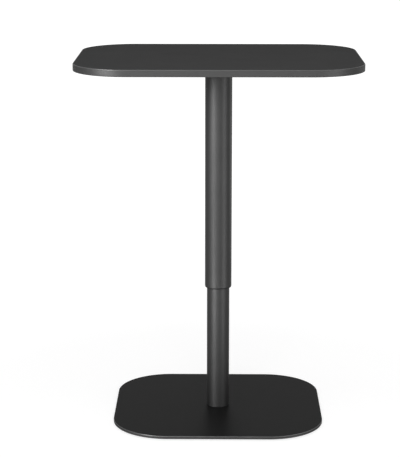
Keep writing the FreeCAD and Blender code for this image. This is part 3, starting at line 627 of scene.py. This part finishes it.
lines = add(turned_rows, "GeometryNodeMeshLine", {"Count": size["Rows"], "Offset": size["Row Step"]})
spots = add(turned_rows, "GeometryNodeInstanceOnPoints", {"Points": lines, "Instance": column})
places = add(turned_rows, "GeometryNodeRealizeInstances", {"Geometry": spots})
stood = add(turned_rows, "GeometryNodeInstanceOnPoints", {"Points": places, "Instance": shape})
end_tree(turned_rows, stood, size["Finish"])

# %% Draw a half section and set it out
def half_section(name, points):
    """Draw a half section in mm, as (distance from the axis, height) points from the axis to the axis."""
    line = bpy.data.curves.new(name, "CURVE")
    line.dimensions = "3D"
    spline = line.splines.new("POLY")
    spline.points.add(len(points) - 1)
    for point, (radius, height) in zip(spline.points, points):
        point.co = ((radius - TURNING_CIRCLE) * MM, -height * MM, 0.0, 1.0)
    return stand(name, line)


def in_rows(name, points, finish, first, columns, column_step, rows, row_step, segments=48, socket=None):
    """Turn a half section and set it out in columns and rows, all in mm."""
    section = half_section(name + "_section", points)
    corner, depth, middle = socket or (1.0, 1.0, 0.0)
    piece = grow(name, turned_rows, {
        "Section": section, "Segments": segments, "Socketed": socket is not None,
        "Socket Corner": corner * MM, "Socket Depth": depth * MM, "Socket Level": middle * MM,
        "First Place": Vector(first) * MM, "Columns": columns, "Column Step": (column_step * MM, 0.0, 0.0),
        "Rows": rows, "Row Step": (0.0, row_step * MM, 0.0), "Finish": finish})
    bpy.data.objects.remove(section)
    return piece


print("half sections are swept round a circle of", TURNING_CIRCLE, "mm radius")

# %% [markdown]
# ## Tree for a rounded board
# The outline is a rectangle with filleted corners. Its rim is a small section swept round that outline: a
# fine seam where the face ends, a flat, a round arris, the upright edge, and the same below. Two filled
# outlines close it, and the drilled pockets of its underside are cut away last. A bevelled block would
# round all its edges alike and could not hold two finishes, so the rim is swept.

# %% Sizes inside the rounded board
board, size = new_tree("rounded_board", {
    "Width": "Float", "Depth": "Float", "Thickness": "Float", "Corner Radius": "Float",
    "Corner Steps": "Int", "Band": "Float", "Arris": "Float", "Seam": "Float", "Middle": "Vector",
    "Pockets": "Object", "Face Finish": "Material", "Edge Finish": "Material"})
half = add(board, "ShaderNodeMath", {0: size["Thickness"]}, {1: 0.5}, operation="MULTIPLY")
core, face = {}, {}
for side in ("Width", "Depth"):
    core[side] = add(board, "ShaderNodeMath", {0: size["Band"], 2: size[side]}, {1: -2.0},
                     operation="MULTIPLY_ADD")
    face[side] = add(board, "ShaderNodeMath", {0: size["Seam"], 2: core[side]}, {1: -2.0},
                     operation="MULTIPLY_ADD")
core["Radius"], groove, flat_end, edge_top = (
    add(board, "ShaderNodeMath", {0: full, 1: less}, operation="SUBTRACT")
    for full, less in ((size["Corner Radius"], size["Band"]), (half, size["Seam"]),
                       (size["Band"], size["Arris"]), (half, size["Arris"])))
face["Radius"] = add(board, "ShaderNodeMath", {0: core["Radius"], 1: size["Seam"]}, operation="SUBTRACT")
inner, edge_foot, half_down = (
    add(board, "ShaderNodeMath", {0: value}, {1: -1.0}, operation="MULTIPLY")
    for value in (size["Seam"], edge_top, half))
print("tree", board.name, "has", len(board.nodes), "nodes so far")

# %% Rim section of the rounded board
ARC_STEPS = 8
groove_foot = add(board, "ShaderNodeCombineXYZ", {"Y": groove})
face_end, band_start, arris_start, arris_middle, edge_start, edge_end = (
    add(board, "ShaderNodeCombineXYZ", {"X": across, "Y": up})
    for across, up in ((inner, half), (size["Seam"], half), (flat_end, half), (flat_end, edge_top),
                       (size["Band"], edge_top), (size["Band"], edge_foot)))
into_seam, out_of_seam, flat, edge = (
    add(board, "GeometryNodeCurvePrimitiveLine", {"Start": start, "End": end})
    for start, end in ((face_end, groove_foot), (groove_foot, band_start), (band_start, arris_start),
                       (edge_start, edge_end)))
arc = add(board, "GeometryNodeCurveArc", {"Radius": size["Arris"]},
          {"Resolution": ARC_STEPS, "Start Angle": 0.0, "Sweep Angle": math.pi / 2}, mode="RADIUS")
arris = add(board, "GeometryNodeTransform", {"Geometry": arc, "Translation": arris_middle})
upper = add(board, "GeometryNodeJoinGeometry")
for part in (into_seam, out_of_seam, flat, arris):
    board.links.new(part.outputs[0], upper.inputs[0])
lower = add(board, "GeometryNodeTransform", {"Geometry": upper}, {"Scale": (1.0, -1.0, 1.0)})
rim = add(board, "GeometryNodeJoinGeometry")
for part in (upper, lower, edge):
    board.links.new(part.outputs[0], rim.inputs[0])
print("tree", board.name, "has", len(board.nodes), "nodes so far")

# %% Outline, faces and pockets of the rounded board
SEAM_MERGE = 0.02
outlines = []
for sizes in (core, face):
    square = add(board, "GeometryNodeCurvePrimitiveQuadrilateral",
                 {"Width": sizes["Width"], "Height": sizes["Depth"]})
    outlines.append(add(board, "GeometryNodeFilletCurve", {
        "Curve": square, "Count": size["Corner Steps"], "Radius": sizes["Radius"]}, mode="POLY"))
upright = add(board, "GeometryNodeSetCurveNormal", {"Curve": outlines[0]}, mode="Z_UP")
swept = add(board, "GeometryNodeCurveToMesh", {"Curve": upright, "Profile Curve": rim})
sheet = add(board, "GeometryNodeFillCurve", {"Curve": outlines[1]}, mode="NGONS")
marked = add(board, "GeometryNodeStoreNamedAttribute", {"Geometry": sheet},
             {"Name": "board_face", "Value": True}, data_type="BOOLEAN", domain="FACE")
lift = add(board, "ShaderNodeCombineXYZ", {"Z": half})
drop = add(board, "ShaderNodeCombineXYZ", {"Z": half_down})
above = add(board, "GeometryNodeTransform", {"Geometry": marked, "Translation": lift})
below = add(board, "GeometryNodeTransform", {"Geometry": marked, "Translation": drop})
below = add(board, "GeometryNodeFlipFaces", {"Mesh": below})
whole = add(board, "GeometryNodeJoinGeometry")
for part in (swept, above, below):
    board.links.new(part.outputs[0], whole.inputs[0])
closed = add(board, "GeometryNodeMergeByDistance", {"Geometry": whole}, {"Distance": SEAM_MERGE * MM})
placed = add(board, "GeometryNodeTransform", {"Geometry": closed, "Translation": size["Middle"]})
drilled = add(board, "GeometryNodeObjectInfo", {"Object": size["Pockets"]})
cut = add(board, "GeometryNodeMeshBoolean",
          {"Mesh 1": placed, "Mesh 2": drilled.outputs["Geometry"]},
          operation="DIFFERENCE", solver="EXACT")
real = add(board, "GeometryNodeRealizeInstances", {"Geometry": cut})
edged = add(board, "GeometryNodeSetMaterial", {"Geometry": real, "Material": size["Edge Finish"]})
on_face = add(board, "GeometryNodeInputNamedAttribute", values={"Name": "board_face"}, data_type="BOOLEAN")
faced = add(board, "GeometryNodeSetMaterial",
            {"Geometry": edged, "Selection": on_face, "Material": size["Face Finish"]})
add(board, "NodeGroupOutput", {"Geometry": faced})
print("tree", board.name, "has", len(board.nodes), "nodes")

# %% [markdown]
# ## Table panel
# The real panel is board with laminate faces and a glued edge band. Threaded inserts sit in six blind
# holes in its underside. The tree of the rounded board grows it. Its size comes from its solid, so that
# the two can't drift apart, and only the radii and the band are given here.

# %% Table panel
# Radius of a screw's head, and radius and depth of an insert's hole, in mm.
SCREW_HEAD = 5.25
INSERT_HOLE = 4.48
INSERT_DEPTH = 10.3


def rounded_board(name, low, high, pockets, face_finish, edge_finish, corner, band, arris, seam):
    """Grow a board that fills a solid's box, with its corner and rim in mm, and drill its pockets."""
    piece = grow(name, board, {
        "Width": high.x - low.x, "Depth": high.y - low.y, "Thickness": high.z - low.z, "Corner Steps": 32,
        "Corner Radius": corner * MM, "Band": band * MM, "Arris": arris * MM, "Seam": seam * MM,
        "Middle": (low + high) / 2, "Pockets": pockets, "Face Finish": face_finish,
        "Edge Finish": edge_finish})
    bpy.data.objects.remove(pockets)
    return piece


low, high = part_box("table_top")
screw_low, screw_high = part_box("mounting_screws")
screw_first = (screw_low.x / MM + SCREW_HEAD, screw_low.y / MM + SCREW_HEAD)
screw_columns = ((screw_high.x - screw_low.x) / MM - 2 * SCREW_HEAD) / 2
screw_rows = (screw_high.y - screw_low.y) / MM - 2 * SCREW_HEAD
hole = [(0, -1), (INSERT_HOLE, -1), (INSERT_HOLE, INSERT_DEPTH), (0, INSERT_DEPTH)]
insert_holes = in_rows("insert_holes", hole, laminate, (*screw_first, low.z / MM), 3, screw_columns,
                       2, screw_rows)
table_panel = rounded_board("table_panel", low, high, insert_holes, laminate, band_plastic,
                            corner=119.0, band=2.0, arris=1.2, seam=0.25)

# %% [markdown]
# ## Floor plate
# The plate follows the same rule as the panel, with a cut steel edge in place of the band. Countersunk
# holes let the foot bolts sit flush below, and four blind holes take the stems of the glides. The two
# kinds of hole are joined in one cutter, because the tree takes only one.

# %% Floor plate
# Radii and depths of the holes, in mm. They start a little below the plate, and the bolts go through it.
BOLT_CIRCLE = 15.5
BOLT_HOLE = 3.3
COUNTERSINK = 2.75
STEM_HOLE = 4.04
STEM_DEPTH = 4.35
BELOW = -0.5
THROUGH = 7.0

low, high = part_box("base_plate")
glide_low, glide_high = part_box("glide_front_left")
far_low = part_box("glide_rear_right")[0]
glide_first = [(glide_low[i] + glide_high[i]) / 2 / MM for i in (0, 1)]
glide_columns = (far_low.x - glide_low.x) / MM
glide_rows = (far_low.y - glide_low.y) / MM
bolt_place = BOLT_CIRCLE / math.sqrt(2)
cone = [(0, BELOW), (BOLT_HOLE + COUNTERSINK - BELOW, BELOW), (BOLT_HOLE, COUNTERSINK),
        (BOLT_HOLE, THROUGH), (0, THROUGH)]
bolt_holes = in_rows("bolt_holes", cone, plate_coat, (-bolt_place, -bolt_place, low.z / MM),
                     2, 2 * bolt_place, 2, 2 * bolt_place)
stem = [(0, BELOW), (STEM_HOLE, BELOW), (STEM_HOLE, STEM_DEPTH), (0, STEM_DEPTH)]
stem_holes = in_rows("stem_holes", stem, plate_coat, (*glide_first, low.z / MM), 2, glide_columns,
                     2, glide_rows)
both = bmesh.new()
both.from_mesh(bolt_holes.data)
both.from_mesh(stem_holes.data)
both.to_mesh(bolt_holes.data)
both.free()
bpy.data.objects.remove(stem_holes)
floor_plate = rounded_board("floor_plate", low, high, bolt_holes, plate_coat, painted_lit_edge_coat,
                            corner=123.0, band=1.0, arris=0.8, seam=0.03)

# %% [markdown]
# ## Screws under the panel
# Six button-head screws hold the mounting plate to the panel, and two smaller ones hold the lever's
# bracket. A button head is a low dome with a six-sided socket. Here the dome is a list of points on an
# arc, and the tree turns it, sinks the socket and sets the screws out. Copies placed by hand could miss
# their holes, but the rows are measured from the solids.

# %% Screws under the panel
def button_screw(head, height, shank, length, land):
    """Half section of a button-head screw, head down, with its seat at height zero, in mm."""
    # The dome takes three quarters of the head's height, and its middle is a flat land.
    arc = [math.radians(step) for step in range(15, 91, 15)]
    dome = [(land + (head - land) * math.sin(a), -0.25 * height - 0.75 * height * math.cos(a)) for a in arc]
    return [(0, -height), (land, -height), *dome, (head, -0.08 * height), (head - 0.25, 0), (shank + 0.3, 0),
            (shank, 0.3), (shank, length - 0.7), (shank - 0.6, length), (0, length)]


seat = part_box("mounting_plate")[0].z / MM
screw_section = button_screw(SCREW_HEAD, height=3.3, shank=3.0, length=screw_high.z / MM - seat, land=2.6)
panel_screws = in_rows("panel_screws", screw_section, zinc, (*screw_first, seat), 3, screw_columns,
                       2, screw_rows, socket=(4 / math.sqrt(3), 2.2, -2.4))
low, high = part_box("bracket_screws")
BRACKET_HEAD = 4.75
HEAD_HEIGHT = 2.75
seat = low.z / MM + HEAD_HEIGHT
bracket_first = ((low.x + high.x) / 2 / MM, low.y / MM + BRACKET_HEAD, seat)
bracket_rows = (high.y - low.y) / MM - 2 * BRACKET_HEAD
bracket_section = button_screw(BRACKET_HEAD, HEAD_HEIGHT, shank=2.5, length=high.z / MM - seat, land=2.2)
bracket_pair = in_rows("bracket_pair", bracket_section, zinc, bracket_first, 1, 0.0, 2, bracket_rows,
                       socket=(3 / math.sqrt(3), 1.9, -2.05))

# %% [markdown]
# ## Floor glides
# A glide is a nylon pad with a stem pressed into the plate. Shallow rings are moulded in its underside,
# so that grit has somewhere to go. The rings are part of the half section, because relief in the finish
# would not be in the mesh. The tree that sets out the screws turns them too.

# %% Floor glides
stem_top = glide_high.z / MM
glide_section = [(0, 0.5), (3.0, 0.5), (3.4, 0), (6.6, 0), (7.0, 0.5), (7.8, 0.5), (8.2, 0), (11.0, 0),
                 (11.4, 0.5), (12.2, 0.5), (12.6, 0), (15.0, 0), (15.45, 0.25), (15.8, 0.6), (16.0, 1.0),
                 (16.0, 2.8), (15.8, 3.0), (4.0, 3.0), (4.0, stem_top - 0.5), (3.5, stem_top), (0, stem_top)]
floor_glides = in_rows("floor_glides", glide_section, glide_plastic, (*glide_first, 0), 2, glide_columns,
                       2, glide_rows, segments=64)

# %% [markdown]
# ## Bush in the upper tube
# The upper tube runs on an acetal bush pressed into its lower end. The bush has a lip that covers the cut
# end of the tube, and that lip is the dark ring on the column. Its section is a closed loop that never
# meets the axis. A stack of cylinders would leave hidden walls inside.

# %% Bush with a lip
RUNNING_GAP = 0.06
LIP = 29.4
LIP_HEIGHT = 2.2

bush_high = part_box("outer_tube_bush")[1]
bush_top = bush_high.z / MM
bush_wall = bush_high.x / MM
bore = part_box("inner_tube")[1].x / MM + RUNNING_GAP
tube_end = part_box("outer_tube")[0].z / MM
lip_end = tube_end - LIP_HEIGHT
bush_section = [(bore, bush_top), (bush_wall, bush_top), (bush_wall, tube_end), (LIP - 0.2, tube_end),
                (LIP, tube_end - 0.2), (LIP, lip_end + 0.7), (LIP - 0.3, lip_end + 0.2),
                (LIP - 0.8, lip_end), (bore + 0.8, lip_end), (bore, lip_end + 0.8), (bore, bush_top)]
tube_bush = in_rows("tube_bush", bush_section, acetal, (0, 0, 0), 1, 0.0, 1, 0.0, segments=128)

# %% [markdown]
# ## Weld under the panel
# The tube is welded to the mounting plate all round. A weld is laid as a row of molten drops, each over
# the edge of the last, so the bead has ripples like stacked coins. A ring of separate drops would hide
# walls inside, so the tree sweeps one small circle round the tube. The ripple is a sine without its sign,
# which swells the circle along the way.

# %% Tree for a weld
weld, size = new_tree("weld_bead", {
    "Ring Radius": "Float", "Level": "Float", "Bead Radius": "Float", "Ripples": "Int",
    "Ripple Height": "Float", "Steps": "Int", "Finish": "Material"})
path = add(weld, "GeometryNodeCurvePrimitiveCircle",
           {"Resolution": size["Steps"], "Radius": size["Ring Radius"]}, mode="RADIUS")
level = add(weld, "ShaderNodeCombineXYZ", {"Z": size["Level"]})
lifted = add(weld, "GeometryNodeTransform", {"Geometry": path, "Translation": level})
along = add(weld, "GeometryNodeSplineParameter")
turns = add(weld, "ShaderNodeMath", {0: along, 1: size["Ripples"]}, operation="MULTIPLY")
angle = add(weld, "ShaderNodeMath", {0: turns}, {1: math.pi}, operation="MULTIPLY")
ripple = add(weld, "ShaderNodeMath", {0: angle}, operation="SINE")
crest = add(weld, "ShaderNodeMath", {0: ripple}, operation="ABSOLUTE")
swell = add(weld, "ShaderNodeMath", {0: crest, 1: size["Ripple Height"]}, {2: 1.0},
            operation="MULTIPLY_ADD")
bead = add(weld, "GeometryNodeCurvePrimitiveCircle", {"Radius": size["Bead Radius"]}, {"Resolution": 14},
           mode="RADIUS")
swept = add(weld, "GeometryNodeCurveToMesh", {"Curve": lifted, "Profile Curve": bead, "Scale": swell})
end_tree(weld, swept, size["Finish"])

# %% Weld under the panel
BEAD = 2.6
TOE = 0.5

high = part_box("outer_tube")[1]
column_weld = grow("column_weld", weld, {
    "Ring Radius": high.x + TOE * MM, "Level": high.z - TOE * MM, "Bead Radius": BEAD * MM, "Ripples": 60,
    "Ripple Height": 0.14, "Steps": 480, "Finish": coat}, sharp_from=70)

# %% [markdown]
# ## Ribs of the grip
# Low ribs across the underside of the grip tell the fingers where to pull. One rib is a stretched ball,
# half sunk in the grip, and the tree sets it out in a row. Ribs in the grip's own mesh would mean making
# the whole grip again, and its solid is good as it is.

# %% Tree for a row of ribs
rib_row, size = new_tree("rib_row", {
    "Half Size": "Vector", "First Place": "Vector", "Step": "Vector", "Count": "Int", "Finish": "Material"})
ball = add(rib_row, "GeometryNodeMeshUVSphere", values={"Segments": 24, "Rings": 12, "Radius": 1.0})
rib = add(rib_row, "GeometryNodeTransform", {"Geometry": ball, "Scale": size["Half Size"]})
row = add(rib_row, "GeometryNodeMeshLine",
          {"Count": size["Count"], "Start Location": size["First Place"], "Offset": size["Step"]})
spread = add(rib_row, "GeometryNodeInstanceOnPoints", {"Points": row, "Instance": rib})
end_tree(rib_row, spread, size["Finish"])

# %% Ribs of the grip
RIBS = 7
RIB_STEP = 6.0
RIB_HALF = (1.2, 11.0, 0.8)

low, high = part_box("lever_grip")
middle = (low + high) / 2
first_rib = (middle.x - (RIBS - 1) / 2 * RIB_STEP * MM, middle.y, low.z)
grip_ribs = grow("grip_ribs", rib_row, {
    "Half Size": Vector(RIB_HALF) * MM, "Count": RIBS, "Step": (RIB_STEP * MM, 0.0, 0.0),
    "First Place": first_rib, "Finish": nylon}, sharp_from=80)

# %% [markdown]
# ## Finishes for the solids that stay
# The record names a material slot for every solid. One table from slot to finish dresses them all, those
# inside the column too, because they come into view when the table is taken apart.

# %% Dress the solids
finish_of = {"panel_board": laminate, "coated_steel": coat, "zinc_steel": zinc, "bare_steel": turned_steel,
             "chrome": chrome, "cylinder_paint": enamel, "aluminium": aluminium, "brass": brass,
             "acetal": acetal, "grip_plastic": nylon, "glide_plastic": glide_plastic, "rubber": rubber}
for part in frame["record"]["subparts"]:
    skin = solids[part["node"]].data.materials
    skin.clear()
    skin.append(finish_of[part["material_slot"]])

# %% [markdown]
# ## Put the pieces on their bodies
# A piece moves with the body it rides on: the floor plate and glides stay down, the panel goes up with
# the upper tube, and the ribs swing with the lever. A piece that was made again takes the place of its
# solid.

# %% Ride and replace
glide_nodes = ("glide_front_left", "glide_front_right", "glide_rear_left", "glide_rear_right")
for piece, body, slot, nodes in (
        (table_panel, "upper", "panel_board", ("table_top",)),
        (panel_screws, "upper", "zinc_steel", ("mounting_screws",)),
        (bracket_pair, "upper", "zinc_steel", ("bracket_screws",)),
        (tube_bush, "upper", "acetal", ("outer_tube_bush",)),
        (column_weld, "upper", "coated_steel", ()),
        (grip_ribs, "lever", "grip_plastic", ()),
        (floor_plate, "base", "coated_steel", ("base_plate",)),
        (floor_glides, "base", "glide_plastic", glide_nodes)):
    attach(piece, body)
    if nodes:
        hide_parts(*nodes)
    print(piece.name, "rides on", body)
